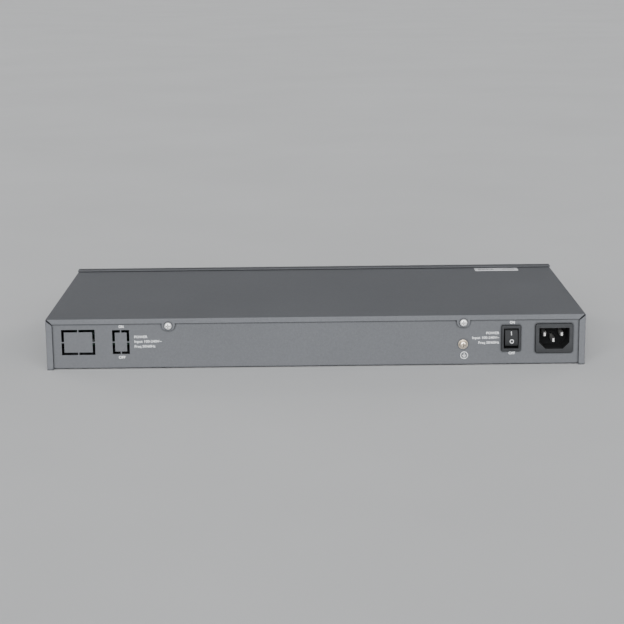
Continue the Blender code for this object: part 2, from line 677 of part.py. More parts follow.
def make_label():
    bm = bmesh.new()
    outline = rounded(*LABEL_SIZE, 1.0, (-168.7, FRONT + 18.4))
    add_prism(bm, outline, 2, COVER_TOP + 0.05, COVER_TOP + 0.25)
    finish("cover_label", bm, PAPER)


def make_jack_block(side, x):
    """Each hole is a box for the plug and two narrower steps for its latch."""
    front, back = FRONT + 0.2, FRONT + 0.2 + JACK_SIZE[1]
    half = JACK_SIZE[0] / 2.0
    low = (x - half, front, ON_BOARD)
    block = simple_box(f"jack_block_{side}", low, (x + half, back, ON_BOARD + JACK_SIZE[2]), ZINC)
    for half_width, step in JACK_STEPS:
        bm = bmesh.new()
        for row, column in itertools.product(JACK_ROWS, range(JACK_COLUMNS)):
            centre = x + JACK_PITCH * (column - (JACK_COLUMNS - 1) / 2.0)
            bottom = JACK_ROWS[row]
            top = bottom + JACK_HOLE[2]
            if row == "upper":
                limits = (bottom + step / 2.0, top + step)
            else:
                limits = (bottom - step, top - step / 2.0)
            low = (centre - half_width, front - 1.0, limits[0])
            add_box(bm, low, (centre + half_width, front + JACK_HOLE[1], limits[1]))
        cut(block, bm)


def make_optics_cage():
    front = FRONT + 0.2
    half = CAGE_SIZE[0] / 2.0
    low = (CAGE_X - half, front, ON_BOARD)
    high = (CAGE_X + half, front + CAGE_SIZE[1], ON_BOARD + CAGE_SIZE[2])
    cage = simple_box("optics_cage", low, high, ZINC)
    bm = bmesh.new()
    for port in range(CAGE_PORTS):
        x = CAGE_X + CAGE_PITCH * (port - (CAGE_PORTS - 1) / 2.0)
        low = (x - CAGE_HOLE[0] / 2.0, front - 1.0, ON_BOARD + 0.9)
        high = (x + CAGE_HOLE[0] / 2.0, front + CAGE_HOLE[1], ON_BOARD + 0.9 + CAGE_HOLE[2])
        add_box(bm, low, high)
    cut(cage, bm)


def make_light_pipe():
    bm = bmesh.new()
    low = (LIGHTS[0] - 2.0, FRONT + 5.0, 20.0)
    add_box(bm, low, (LIGHTS[-1] + 2.0, FRONT + 8.0, LIGHT_Z + 2.0))
    pipe = finish("indicator_light_pipe", bm, CLEAR)
    bm = bmesh.new()
    for x in LIGHTS:
        low = (x - 1.0, FRONT + 0.1, LIGHT_Z - 1.5)
        add_box(bm, low, (x + 1.0, FRONT + 5.5, LIGHT_Z + 1.5))
    for x in (LIGHTS[0], LIGHTS[-1]):
        add_box(bm, (x - 1.5, FRONT + 5.2, ON_BOARD), (x + 1.5, FRONT + 7.8, 20.5))
    fuse(pipe, bm)


def make_reset():
    x, z = RESET
    low, high = (x - 4.5, FRONT + 9.0, ON_BOARD), (x + 4.5, FRONT + 17.0, 19.0)
    body = simple_box("reset_switch_body", low, high, BLACK)
    bm = bmesh.new()
    add_rod(bm, (x, 0.0, z), (0, 1, 0), 1.7, FRONT + 8.0, FRONT + 14.5, 16)
    cut(body, bm)
    start = (x, FRONT + 0.4, z)
    bm = bmesh.new()
    profile = [(0.9, 0.0), (1.3, 0.4), (1.3, 12.0)]
    add_turned(bm, profile, start, (0, 1, 0), 16)
    finish("reset_button", bm, BLACK, start, round_piece=True)


def make_boards():
    low = (MAIN_BOARD[0], MAIN_BOARD[2], BOARD_UNDER)
    high = (MAIN_BOARD[1], MAIN_BOARD[3], BOARD_TOP)
    slab_with_holes("main_board", low, high, MAIN_STANDOFFS, 1.6, BOARD)
    low = (SUPPLY_BOARD[0], SUPPLY_BOARD[2], BOARD_UNDER)
    high = (SUPPLY_BOARD[1], SUPPLY_BOARD[3], BOARD_TOP)
    slab_with_holes("supply_board", low, high, SUPPLY_STANDOFFS, 1.6, BOARD)
    low = (SUPPLY_BOARD[0] - 3.0, SUPPLY_BOARD[2] - 3.0, 2.1)
    high = (SUPPLY_BOARD[1] + 3.0, SUPPLY_BOARD[3] + 3.0, 2.5)
    slab_with_holes("insulating_sheet", low, high, SUPPLY_STANDOFFS, 3.6, FILM)
    places = [("main_board_screw", MAIN_STANDOFFS), ("supply_board_screw", SUPPLY_STANDOFFS[::3])]
    for name, spots in places:
        for index, (x, y) in enumerate(spots):
            seat = (x, y, BOARD_TOP + GAP)
            label = f"{name}_{index + 1}"
            make_screw(label, seat, (0, 0, 1), (2.6, 1.6), (1.2, 5.5), CHROME, slots=1)


def make_transformer():
    x, y = -164.0, FRONT + 92.0
    low, high = ON_BOARD + 1.0, ON_BOARD + 28.0
    core = simple_box("transformer_core", (x - 16.5, y - 6, low), (x + 16.5, y + 6, high), FERRITE)
    bm = bmesh.new()
    for sign in (-1, 1):
        edges = sorted((x + sign * 4.5, x + sign * 12.5))
        add_box(bm, (edges[0], y - 7.0, low + 5.0), (edges[1], y + 7.0, high - 5.0))
    cut(core, bm)
    bm = bmesh.new()
    add_prism(bm, rounded(15.4, 24.0, 3.0, (x, y)), 2, low + 5.3, high - 5.3)
    winding = finish("transformer_winding", bm, TAPE)
    bm = bmesh.new()
    add_box(bm, (x - 4.8, y - 6.3, low), (x + 4.8, y + 6.3, high))
    cut(winding, bm)


def capacitor(name, x, y, radius, height, look):
    bm = bmesh.new()
    profile = [(radius * 0.96, 0.0), (radius, 0.6), (radius, 2.2), (radius * 0.93, 2.8)]
    profile += [(radius, 3.4), (radius, height - 0.6), (radius * 0.94, height)]
    add_turned(bm, profile, (x, y, ON_BOARD), (0, 0, 1), 16)
    finish(name, bm, look, round_piece=True)


def heat_sink(name, low, high, fins, web, look):
    """Finned block: a base slab with upright fins along Y."""
    bm = bmesh.new()
    span = high[0] - low[0]
    thick = 1.2
    outline = [(low[0], low[2]), (low[0], high[2])]
    for index in range(fins):
        left = low[0] + (span - thick) * index / (fins - 1)
        if index:
            outline += [(left, low[2] + web), (left, high[2])]
        outline.append((left + thick, high[2]))
        if index < fins - 1:
            outline.append((left + thick, low[2] + web))
    outline.append((high[0], low[2]))
    add_prism(bm, outline, 1, low[1], high[1])
    finish(name, bm, look)


def make_supply_parts():
    make_transformer()
    capacitor("bulk_capacitor", -196.0, FRONT + 98.0, 9.0, 28.0, DARK)
    capacitor("output_capacitor_1", -133.5, FRONT + 62.0, 4.0, 18.0, DARK)
    capacitor("output_capacitor_2", -145.0, FRONT + 62.0, 4.0, 18.0, DARK)
    y = FRONT + 121.0
    heat_sink("primary_heat_sink", (-182, y, ON_BOARD), (-166, y + 14, 34.0), 4, 3.0, ALLOY)
    y = FRONT + 60.0
    heat_sink("secondary_heat_sink", (-178, y, ON_BOARD), (-158, y + 12, 32.0), 5, 3.0, ALLOY)
    bm = bmesh.new()
    ring = []
    for step in range(10):
        angle = math.tau * step / 10
        ring.append((8.0 + 3.4 * math.cos(angle), 3.4 * math.sin(angle)))
    add_turned(bm, ring, (-197.0, FRONT + 134.0, ON_BOARD + 3.6), (0, 0, 1), 20, ring=True)
    finish("line_choke", bm, BRASS, round_piece=True)
    bm = bmesh.new()
    fuse_profile = [(2.6, 0.0), (2.6, 4.0), (2.3, 4.0), (2.3, 16.0), (2.6, 16.0), (2.6, 20.0)]
    add_turned(bm, fuse_profile, (-150.0, FRONT + 124.0, ON_BOARD + 3.0), (0, 1, 0), 12)
    finish("mains_fuse", bm, CLEAR, round_piece=True)
    edge = SUPPLY_BOARD[3]
    low = (-190.0, edge - 10.0, ON_BOARD)
    simple_box("mains_header", low, (-177.0, edge - 1.0, 19.0), WHITE)
    low = (-136.0, FRONT + 68.0, ON_BOARD)
    simple_box("supply_output_header", low, (-127.0, FRONT + 82.0, 18.0), WHITE)


def make_main_parts():
    low = (-113.0, FRONT + 68.0, ON_BOARD)
    simple_box("board_power_header", low, (-104.0, FRONT + 82.0, 18.0), WHITE)
    chips = {"switch_chip": (0.0, 88.0, 12.0), "port_chip": (-52.0, 62.0, 7.0)}
    for name, (x, y, half) in chips.items():
        y += FRONT
        top = ON_BOARD + 1.6
        simple_box(name, (x - half, y - half, ON_BOARD), (x + half, y + half, top), CHIP)
        reach = half + 5.0
        low = (x - reach, y - reach, top + GAP)
        high = (x + reach, y + reach, top + 13.0)
        heat_sink(f"{name}_heat_sink", low, high, 7, 2.5, ALLOY)
    low = (52.0, FRONT + 96.0, ON_BOARD)
    simple_box("memory_chip", low, (62.0, FRONT + 112.0, ON_BOARD + 1.1), CHIP)
    low = (-90.0, FRONT + 84.0, ON_BOARD)
    simple_box("power_inductor", low, (-79.0, FRONT + 95.0, ON_BOARD + 5.0), FERRITE)
    capacitor("board_capacitor", -84.0, FRONT + 74.0, 4.0, 12.0, ALLOY)


def wire(name, points, radius, look):
    bm = bmesh.new()
    add_tube(bm, points, radius)
    finish(name, bm, look, round_piece=True)


def make_wires():
    tab = PANEL - 27.0 - GAP
    contact = PANEL - 25.0 - GAP
    header = SUPPLY_BOARD[3] - 1.0 + GAP
    live = [(-187.0, tab, 25.2), (-187.0, tab - 2.0, 25.3), (-184.0, tab - 8.0, 27.5)]
    live += [(-173.0, tab - 10.0, 30.0), (-161.0, contact - 7.0, 28.5)]
    live += [(SWITCH[0], contact - 2.0, 27.8), (SWITCH[0], contact, 27.7)]
    wire("wire_live", live, 1.1, BROWN)
    switched = [(SWITCH[0], contact, 17.7), (SWITCH[0], contact - 2.0, 17.7)]
    switched += [(-161.5, contact - 9.0, 17.0), (-169.0, contact - 12.0, 15.5)]
    switched += [(-178.5, header + 6.0, 14.2), (-180.5, header + 2.0, 14.0), (-180.5, header, 14.0)]
    wire("wire_switched", switched, 1.1, BROWN)
    neutral = [(-201.0, tab, 25.2), (-201.0, tab - 2.0, 25.1), (-199.5, tab - 7.0, 22.5)]
    neutral += [(-193.0, header + 6.5, 18.0), (-187.5, header + 4.5, 14.5)]
    neutral += [(-186.5, header + 2.0, 14.0), (-186.5, header, 14.0)]
    wire("wire_neutral", neutral, 1.1, BLUE)
    earth = [(-194.0, tab, 20.6), (-194.0, tab - 2.5, 20.5), (-192.5, tab - 7.0, 18.0)]
    earth += [(-188.0, tab - 8.5, 12.5), (-180.0, tab - 7.0, 7.5), (-165.0, tab - 4.0, 5.2)]
    earth += [(-145.0, tab - 1.0, 5.0), (-130.0, tab + 1.5, 8.0), (-122.5, tab + 7.0, 13.5)]
    earth += [(EARTH[0], PANEL - 13.5, 17.3), (EARTH[0], PANEL - 9.0, EARTH[1])]
    wire("wire_earth", earth, 1.1, GREEN)
    for name, offset, look in (("positive", 3.0, RED), ("return", -3.0, DARK)):
        y = FRONT + 75.0 + offset
        points = [(-127.0 + GAP, y, 13.5), (-125.2, y, 13.6), (-120.0, y, 16.5)]
        points += [(-114.8, y, 13.6), (-113.0 - GAP, y, 13.5)]
        wire(f"wire_supply_{name}", points, 0.9, look)


def main():
    make_base_tray()
    make_top_cover()
    make_front_panel()
    make_case_screws()
    make_earth_terminal()
    make_inlet()
    make_rocker_switch()
    make_label()
    for side, x in JACK_BLOCKS.items():
        make_jack_block(side, x)
    make_optics_cage()
    make_light_pipe()
    make_reset()
    make_boards()
    make_supply_parts()
    make_main_parts()
    make_wires()


main()
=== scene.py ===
"""Looks of the rackmount network switch: materials, printing, finer pieces, light and camera."""
import json
import math
import random

import bmesh
import bpy
from mathutils import Matrix, Vector


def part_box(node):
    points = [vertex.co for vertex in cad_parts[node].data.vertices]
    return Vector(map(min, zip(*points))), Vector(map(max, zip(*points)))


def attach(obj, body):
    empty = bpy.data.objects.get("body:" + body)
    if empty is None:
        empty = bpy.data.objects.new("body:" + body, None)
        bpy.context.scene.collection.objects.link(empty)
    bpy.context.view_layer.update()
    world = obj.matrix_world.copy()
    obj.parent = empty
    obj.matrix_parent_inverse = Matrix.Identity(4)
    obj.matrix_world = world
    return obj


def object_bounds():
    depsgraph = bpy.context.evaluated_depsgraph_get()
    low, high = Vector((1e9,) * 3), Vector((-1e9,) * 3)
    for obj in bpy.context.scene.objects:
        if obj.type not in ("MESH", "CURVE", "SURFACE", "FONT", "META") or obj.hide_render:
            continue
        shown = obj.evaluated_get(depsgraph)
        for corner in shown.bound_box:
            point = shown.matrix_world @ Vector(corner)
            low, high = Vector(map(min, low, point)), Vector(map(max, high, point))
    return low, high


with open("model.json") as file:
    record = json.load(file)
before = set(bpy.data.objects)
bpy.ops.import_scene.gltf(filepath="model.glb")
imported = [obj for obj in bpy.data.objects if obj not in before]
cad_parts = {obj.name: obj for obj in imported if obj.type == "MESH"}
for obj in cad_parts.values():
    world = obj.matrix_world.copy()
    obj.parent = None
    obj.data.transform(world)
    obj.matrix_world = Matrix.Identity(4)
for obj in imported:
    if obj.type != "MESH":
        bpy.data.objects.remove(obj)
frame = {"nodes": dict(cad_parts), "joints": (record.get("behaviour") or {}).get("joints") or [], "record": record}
CAD_BOX = [list(corner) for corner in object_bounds()]

MM = 0.001
CASE, ROCKER = "case", "rocker"

# Camera
CAMERA_PLACE = (0.0065, 1.35658, 0.3329)
CAMERA_TARGET = (0.00293, 0.1134, 0.04936)
CAMERA_ROLL = math.radians(-0.6)
CAMERA_LENS, SENSOR = 91.5, 36.0  # mm

# Studio
STAND = CAD_BOX[0][2]  # height of the floor
FLOOR_SIZE = 40.0
SKY = (0.86, 0.88, 0.9, 1.0)
SURROUND, HORIZON_GLOW = 0.15, 0.72  # strength overhead and at the horizon
HORIZON_REACH = 0.11  # sine of the elevation at which the glow has faded
COOL, WHITE = (0.96, 0.98, 1.0), (1.0, 1.0, 1.0)
SUNS = (  # name, where it shines from, power, spread in degrees, colour
    ("key_light", (0.6, 2.4, 0.9), 3.0, 50.0, COOL),
    ("broad_light", (-0.5, 2.4, 0.85), 2.6, 50.0, COOL),
    ("fill_light", (-1.9, 1.2, 0.9), 0.5, 50.0, WHITE),
    ("port_light", (1.2, -1.5, 2.0), 0.3, 50.0, WHITE),
    ("left_port_light", (-1.9, -1.8, 0.42), 0.95, 30.0, WHITE),
    ("right_port_light", (1.9, -1.8, 0.42), 0.95, 30.0, WHITE),
)


def middle_of(name):
    """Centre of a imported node's box, in metres."""
    low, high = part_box(name)
    return (Vector(low) + Vector(high)) / 2.0


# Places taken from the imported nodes, in metres
REAR_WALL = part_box("base_tray")[1][1]
FRONT_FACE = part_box("front_panel")[0][1]
SWITCH_X = middle_of("switch_body").x
EARTH_X = middle_of("earth_washer").x

# Printing
INK = 0.00003  # thickness of the ink
INK_GAP = 0.00001  # how far the ink stands off the paint
FACES = {
    "rear": Matrix(((-1, 0, 0), (0, 0, 1), (0, 1, 0))),
    "front": Matrix(((1, 0, 0), (0, 0, -1), (0, 1, 0))),
    "top": Matrix(((1, 0, 0), (0, 1, 0), (0, 0, 1))),
}


# ---- shader helpers ---------------------------------------------------------------------


def node(tree, kind, inputs=None, **settings):
    """Adds a shader node. An input is a value, or another node's output."""
    made = tree.nodes.new("ShaderNode" + kind)
    for name, value in settings.items():
        setattr(made, name, value)
    for name, value in (inputs or {}).items():
        if isinstance(value, bpy.types.NodeSocket):
            tree.links.new(value, made.inputs[name])
        else:
            made.inputs[name].default_value = value
    return made


def start_material(name, metallic=0.0, **uniform):
    """Empty Principled material, with its uniform values set on the shader's sockets."""
    made = bpy.data.materials.new(name)
    made.use_nodes = True
    tree = made.node_tree
    shader = tree.nodes["Principled BSDF"]
    shader.inputs["Metallic"].default_value = metallic
    for key, value in uniform.items():
        shader.inputs[key.replace("_", " ")].default_value = value
    place = node(tree, "TexCoord").outputs["Object"]
    return made, tree, shader, place


def noise(tree, place, size, detail=3.0, stretch=(1.0, 1.0, 1.0), kind="Noise"):
    """Texture whose features are about size metres wide, from 0 to 1."""
    mapped = node(tree, "Mapping", {"Vector": place, "Scale": [s / size for s in stretch]})
    inputs = {"Vector": mapped.outputs["Vector"], "Scale": 1.0}
    if kind == "Voronoi":
        return node(tree, "TexVoronoi", inputs).outputs["Distance"]
    inputs.update({"Detail": detail, "Roughness": 0.6})
    return node(tree, "TexNoise", inputs).outputs["Fac"]


def spread(tree, value, low, high, start=0.3, end=0.7):
    """Maps start..end of a value to low..high."""
    inputs = {"Value": value, "From Min": start, "From Max": end, "To Min": low, "To Max": high}
    return node(tree, "MapRange", inputs).outputs["Result"]


def mix(tree, factor, first, second):
    """Colour between two, each a colour or another node's output. Factor is an output."""
    made = node(tree, "Mix", data_type="RGBA")
    tree.links.new(factor, made.inputs[0])
    for socket, value in ((made.inputs[6], first), (made.inputs[7], second)):
        if isinstance(value, bpy.types.NodeSocket):
            tree.links.new(value, socket)
        else:
            socket.default_value = (*value, 1.0)
    return made.outputs[2]


def plus(tree, first, second, clamp=False):
    """Sum of an output and a value or output."""
    inputs = {0: first, 1: second}
    return node(tree, "Math", inputs, operation="ADD", use_clamp=clamp).outputs[0]


def times(tree, first, second):
    """Product of an output and a value or output."""
    return node(tree, "Math", {0: first, 1: second}, operation="MULTIPLY").outputs[0]


def soft_edges(tree, radius):
    """Rounded normal, and a mask that is 1 along the edges."""
    rounded = node(tree, "Bevel", {"Radius": radius}, samples=6).outputs["Normal"]
    flat = node(tree, "NewGeometry").outputs["True Normal"]
    dot = node(tree, "VectorMath", {0: rounded, 1: flat}, operation="DOT_PRODUCT")
    return rounded, spread(tree, dot.outputs["Value"], 1.0, 0.0, 0.86, 0.99)


def recesses(tree, reach, start, end):
    """Mask for painted shade: 0 in the open, rising to 1 in gaps and corners narrower than reach."""
    open_sky = node(tree, "AmbientOcclusion", {"Distance": reach}, samples=4).outputs["AO"]
    return spread(tree, open_sky, 1.0, 0.0, start, end)


def grain_bump(tree, height, strength, distance, normal=None):
    """Normal with a height's relief added, on top of another normal if there is one."""
    inputs = {"Height": height, "Strength": strength, "Distance": distance}
    if normal is not None:
        inputs["Normal"] = normal
    return node(tree, "Bump", inputs).outputs["Normal"]


def tinted(colour, factor):
    """A colour made darker or lighter."""
    return tuple(channel * factor for channel in colour)


# ---- materials --------------------------------------------------------------------------


COAT_ROUGH = 0.62
COAT_PAINTED_SHADE_REACH = 0.0019  # painted shade darkens gaps narrower than this


def powder_coat(name, colour, seed=0.0):
    """Sprayed and baked paint: fine orange peel, speckle, faint rub marks along the edges that double as a painted
    highlight, and painted shade darkening narrow gaps and corners.
    """
    made, tree, shader, place = start_material(name, Specular_IOR_Level=0.22)
    shift = node(tree, "Mapping", {"Vector": place, "Location": (seed, seed * 0.7, seed * 0.3)})
    place = shift.outputs["Vector"]
    grain = noise(tree, place, 0.0007, 4.0)
    speck = noise(tree, place, 0.0019, 2.0)
    cloud = noise(tree, place, 0.07, 3.0)
    rub = noise(tree, place, 0.012, 5.0)
    rounded, edge = soft_edges(tree, 0.00045)
    base = mix(tree, spread(tree, cloud, 0.0, 1.0), tinted(colour, 0.95), tinted(colour, 1.05))
    base = mix(tree, spread(tree, speck, 0.0, 0.35), base, tinted(colour, 0.72))
    base = mix(tree, spread(tree, grain, 0.0, 0.30, 0.45, 0.75), base, tinted(colour, 1.5))
    # Edges lightened in patches: partly rub wear, partly a painted highlight along the edges.
    edge_wear_and_highlight = times(tree, edge, spread(tree, rub, 0.02, 0.2))
    base = mix(tree, edge_wear_and_highlight, base, tinted(colour, 2.0))
    # Painted shade: gaps and corners narrower than the reach are darkened almost to black.
    painted_shade = recesses(tree, COAT_PAINTED_SHADE_REACH, 0.45, 0.95)
    base = mix(tree, painted_shade, base, tinted(colour, 0.04))
    tree.links.new(base, shader.inputs["Base Color"])
    uneven = plus(tree, spread(tree, grain, -0.06, 0.06), spread(tree, cloud, -0.04, 0.04))
    tree.links.new(plus(tree, uneven, COAT_ROUGH), shader.inputs["Roughness"])
    peel = plus(tree, noise(tree, place, 0.0011, 2.0), times(tree, grain, 0.5))
    tree.links.new(grain_bump(tree, peel, 0.35, 0.00012, rounded), shader.inputs["Normal"])
    return made


def moulded(name, colour, rough=0.42, grain_size=0.0004, scuff=0.25, shade=0.0, **uniform):
    """Moulded plastic with a spark-eroded texture; painted shade darkens recesses narrower than shade."""
    made, tree, shader, place = start_material(name, **uniform)
    grain = noise(tree, place, grain_size, 3.0)
    cloud = noise(tree, place, 0.006, 4.0)
    rounded, edge = soft_edges(tree, 0.0003)
    base = mix(tree, spread(tree, cloud, 0.0, 1.0), tinted(colour, 0.86), tinted(colour, 1.14))
    base = mix(tree, spread(tree, grain, 0.0, 0.25, 0.5, 0.8), base, tinted(colour, 1.7))
    base = mix(tree, times(tree, edge, scuff), base, tinted(colour, 2.6))
    rough_map = spread(tree, cloud, rough - 0.07, rough + 0.09)
    if shade:
        # Painted shade: recesses narrower than shade are darkened to 0.12 of the colour and made rougher.
        deep = recesses(tree, shade, 0.55, 0.93)
        base = mix(tree, deep, base, tinted(colour, 0.12))
        rough_map = plus(tree, rough_map, times(tree, deep, 0.5))
    tree.links.new(base, shader.inputs["Base Color"])
    tree.links.new(rough_map, shader.inputs["Roughness"])
    tree.links.new(grain_bump(tree, grain, 0.3, 0.00006, rounded), shader.inputs["Normal"])
    return made


def plated(name, colour, rough, stretch=(1.0, 1.0, 1.0), tarnish=0.35, size=0.0006, painted_shade_reach=0.0012):
    """Plated or bare metal: machining lines, tarnish, bright edges, painted shade in recesses and gaps."""
    made, tree, shader, place = start_material(name, metallic=1.0)
    lines = noise(tree, place, size, 4.0, stretch)
    stain = noise(tree, place, 0.0035, 5.0)
    rounded, edge = soft_edges(tree, 0.00025)
    base = mix(tree, spread(tree, stain, 0.0, tarnish, 0.45, 0.75), colour, tinted(colour, 0.55))
    base = mix(tree, spread(tree, lines, 0.0, 0.25), base, tinted(colour, 0.8))
    base = mix(tree, times(tree, edge, 0.5), base, tinted(colour, 1.15))
    # Painted shade: gaps and corners narrower than the given reach are darkened almost to black.
    painted_shade = recesses(tree, painted_shade_reach, 0.4, 0.88)
    base = mix(tree, painted_shade, base, tinted(colour, 0.06))
    tree.links.new(base, shader.inputs["Base Color"])
    uneven = plus(tree, spread(tree, lines, -0.07, 0.07), spread(tree, stain, -0.04, 0.12))
    tree.links.new(plus(tree, uneven, rough, clamp=True), shader.inputs["Roughness"])
    tree.links.new(grain_bump(tree, lines, 0.22, 0.00004, rounded), shader.inputs["Normal"])
    return made


def circuit_board(name):
    """Green solder mask over copper traces, with vias."""
    made, tree, shader, place = start_material(name, Specular_IOR_Level=0.55, Coat_Weight=0.25)
    bend = noise(tree, place, 0.02, 2.0)
    mapped = node(tree, "Mapping", {"Vector": place, "Scale": (420.0, 420.0, 1.0)})
    bricks = {
        "Vector": mapped.outputs["Vector"],
        "Scale": 1.0,
        "Mortar Size": 0.09,
        "Row Height": 0.5,
        "Brick Width": 7.0,
        "Color1": (0, 0, 0, 1),
        "Color2": (0, 0, 0, 1),
        "Mortar": (1, 1, 1, 1),
    }
    traces = node(tree, "TexBrick", bricks).outputs["Color"]
    vias = noise(tree, place, 0.004, kind="Voronoi")
    mask = (0.006, 0.085, 0.035)
    base = mix(tree, spread(tree, bend, 0.0, 1.0), tinted(mask, 0.85), tinted(mask, 1.2))
    base = mix(tree, times(tree, traces, 0.55), base, (0.02, 0.19, 0.08))
    base = mix(tree, spread(tree, vias, 1.0, 0.0, 0.07, 0.1), base, (0.62, 0.5, 0.26))
    tree.links.new(base, shader.inputs["Base Color"])
    tree.links.new(spread(tree, bend, 0.34, 0.5), shader.inputs["Roughness"])
    tree.links.new(grain_bump(tree, traces, 0.3, 0.00004), shader.inputs["Normal"])
    return made


def wound(name, colour, pitch, direction, rough, metallic=0.0):
    """Turns of wire or tape, as one ridge for each pitch along a direction."""
    made, tree, shader, place = start_material(name, metallic=metallic)
    mapped = node(tree, "Mapping", {"Vector": place, "Scale": (1.0 / pitch,) * 3})
    inputs = {
        "Vector": mapped.outputs["Vector"],
        "Scale": 0.314,  # makes one band for each unit of the mapped place
        "Distortion": 0.6,
        "Detail": 1.0,
    }
    turns = node(tree, "TexWave", inputs, bands_direction=direction).outputs["Fac"]
    cloud = noise(tree, place, 0.004, 4.0)
    base = mix(tree, turns, tinted(colour, 0.55), colour)
    base = mix(tree, spread(tree, cloud, 0.0, 0.4), base, tinted(colour, 0.75))
    tree.links.new(base, shader.inputs["Base Color"])
    tree.links.new(spread(tree, cloud, rough - 0.08, rough + 0.1), shader.inputs["Roughness"])
    tree.links.new(grain_bump(tree, turns, 0.6, 0.0003), shader.inputs["Normal"])
    return made


def film(name, colour, rough, **uniform):
    """Printed or plain plastic film with faint wrinkles and smudges."""
    made, tree, shader, place = start_material(name, **uniform)
    smudge = noise(tree, place, 0.008, 5.0)
    fibre = noise(tree, place, 0.0005, 3.0, (1.0, 3.0, 1.0))
    base = mix(tree, spread(tree, smudge, 0.0, 0.5), colour, tinted(colour, 0.9))
    base = mix(tree, spread(tree, fibre, 0.0, 0.3), base, tinted(colour, 0.93))
    tree.links.new(base, shader.inputs["Base Color"])
    tree.links.new(spread(tree, smudge, rough - 0.08, rough + 0.12), shader.inputs["Roughness"])
    tree.links.new(grain_bump(tree, fibre, 0.15, 0.00005), shader.inputs["Normal"])
    return made


def floor_paper(name):
    """Matt studio sweep with a faint tooth."""
    made, tree, shader, place = start_material(name, Specular_IOR_Level=0.2)
    tooth = noise(tree, place, 0.002, 3.0)
    cloud = noise(tree, place, 0.4, 3.0)
    base = mix(tree, spread(tree, cloud, 0.0, 1.0), (0.60, 0.60, 0.60), (0.64, 0.64, 0.64))
    tree.links.new(base, shader.inputs["Base Color"])
    tree.links.new(spread(tree, tooth, 0.75, 0.9), shader.inputs["Roughness"])
    tree.links.new(grain_bump(tree, tooth, 0.1, 0.0002), shader.inputs["Normal"])
    return made


COAT_GREY = (0.119, 0.122, 0.130)
ZINC, SCREW, EARTH_BRASS = (0.66, 0.665, 0.67), (1.0, 0.995, 0.98), (1.0, 0.87, 0.70)
LOOKS = {
    "cover_paint": powder_coat("cover_paint", tinted(COAT_GREY, 1.04)),
    "tray_paint": powder_coat("tray_paint", tinted(COAT_GREY, 0.925), seed=0.31),
    "front_paint": powder_coat("front_paint", tinted(COAT_GREY, 0.8), seed=0.83),
    "screw_metal": plated("screw_metal", SCREW, 0.55, tarnish=0.08),
    # Earth screw: its painted shade reaches 2.2 mm, darkening the gaps between washer and head.
    "earth_metal": plated("earth_metal", EARTH_BRASS, 0.26, tarnish=0.6, painted_shade_reach=0.0022),
    # The inlet, switch and rocker plastics carry painted shade in their recesses, out to the reach given as shade.
    "inlet_plastic": moulded(
        "inlet_plastic",
        (0.030, 0.031, 0.033),
        scuff=0.03,
        shade=0.022,
        Specular_IOR_Level=0.3,
    ),
    "switch_plastic": moulded(
        "switch_plastic",
        (0.024, 0.025, 0.027),
        0.36,
        scuff=0.03,
        shade=0.008,
        Specular_IOR_Level=0.35,
    ),
    "rocker_plastic": moulded(
        "rocker_plastic",
        (0.018, 0.0185, 0.0195),
        0.5,
        0.0006,
        scuff=0.35,
        shade=0.002,
        Specular_IOR_Level=0.14,
    ),
    "pin_metal": plated("pin_metal", (0.92, 0.91, 0.88), 0.38, (1.0, 0.2, 1.0), tarnish=0.15),
    "label_film": film("label_film", (0.82, 0.82, 0.84), 0.36),
    "jack_shell": plated("jack_shell", ZINC, 0.33, (1.0, 1.0, 0.15)),
    "cage_metal": plated("cage_metal", (0.70, 0.70, 0.69), 0.3, (0.2, 1.0, 1.0)),
    "light_pipe": film(
        "light_pipe", (0.72, 0.78, 0.76), 0.16, Transmission_Weight=0.6, IOR=1.49
    ),
    "button_plastic": moulded("button_plastic", (0.03, 0.03, 0.032), 0.4),
    "board_laminate": circuit_board("board_laminate"),
    "chip_epoxy": moulded("chip_epoxy", (0.018, 0.018, 0.02), 0.55, 0.0003),
    "sink_alloy": plated("sink_alloy", (0.62, 0.63, 0.65), 0.36, (0.15, 1.0, 1.0), size=0.0012),
    "ferrite": moulded("ferrite", (0.035, 0.034, 0.036), 0.6, 0.0008),
    "winding_tape": wound("winding_tape", (0.62, 0.42, 0.05), 0.004, "Z", 0.35),
    "choke_wire": wound("choke_wire", (0.72, 0.28, 0.11), 0.0011, "X", 0.3, metallic=1.0),
    "capacitor_sleeve": film("capacitor_sleeve", (0.02, 0.022, 0.035), 0.3, Coat_Weight=0.3),
    "capacitor_can": plated("capacitor_can", (0.72, 0.73, 0.74), 0.3, (1.0, 1.0, 0.2)),
    "fuse_body": film("fuse_body", (0.52, 0.44, 0.3), 0.3),
    "header_nylon": moulded("header_nylon", (0.66, 0.65, 0.6), 0.45, 0.0005, 0.1),
    "insulating_film": film("insulating_film", (0.6, 0.6, 0.55), 0.35),
    "ink_white": film("ink_white", (0.88, 0.885, 0.89), 0.5),
    "ink_grey": film("ink_grey", (0.26, 0.265, 0.27), 0.5),
    "insert_plastic": moulded("insert_plastic", (0.02, 0.02, 0.021), 0.45),
    "contact_gold": plated("contact_gold", (0.94, 0.69, 0.32), 0.2),
    "lens_green": film("lens_green", (0.1, 0.42, 0.16), 0.2, Transmission_Weight=0.3),
    "lens_amber": film("lens_amber", (0.62, 0.33, 0.05), 0.2, Transmission_Weight=0.3),
}
WIRE_COLOURS = {
    "wire_brown": (0.12, 0.045, 0.02),
    "wire_blue": (0.02, 0.06, 0.3),
    "wire_earth": (0.16, 0.32, 0.03),
    "wire_red": (0.4, 0.02, 0.015),
    "wire_black": (0.015, 0.015, 0.016),
}
for wire, wire_colour in WIRE_COLOURS.items():
    LOOKS[wire] = moulded(wire, wire_colour, 0.4, 0.0008, 0.1)


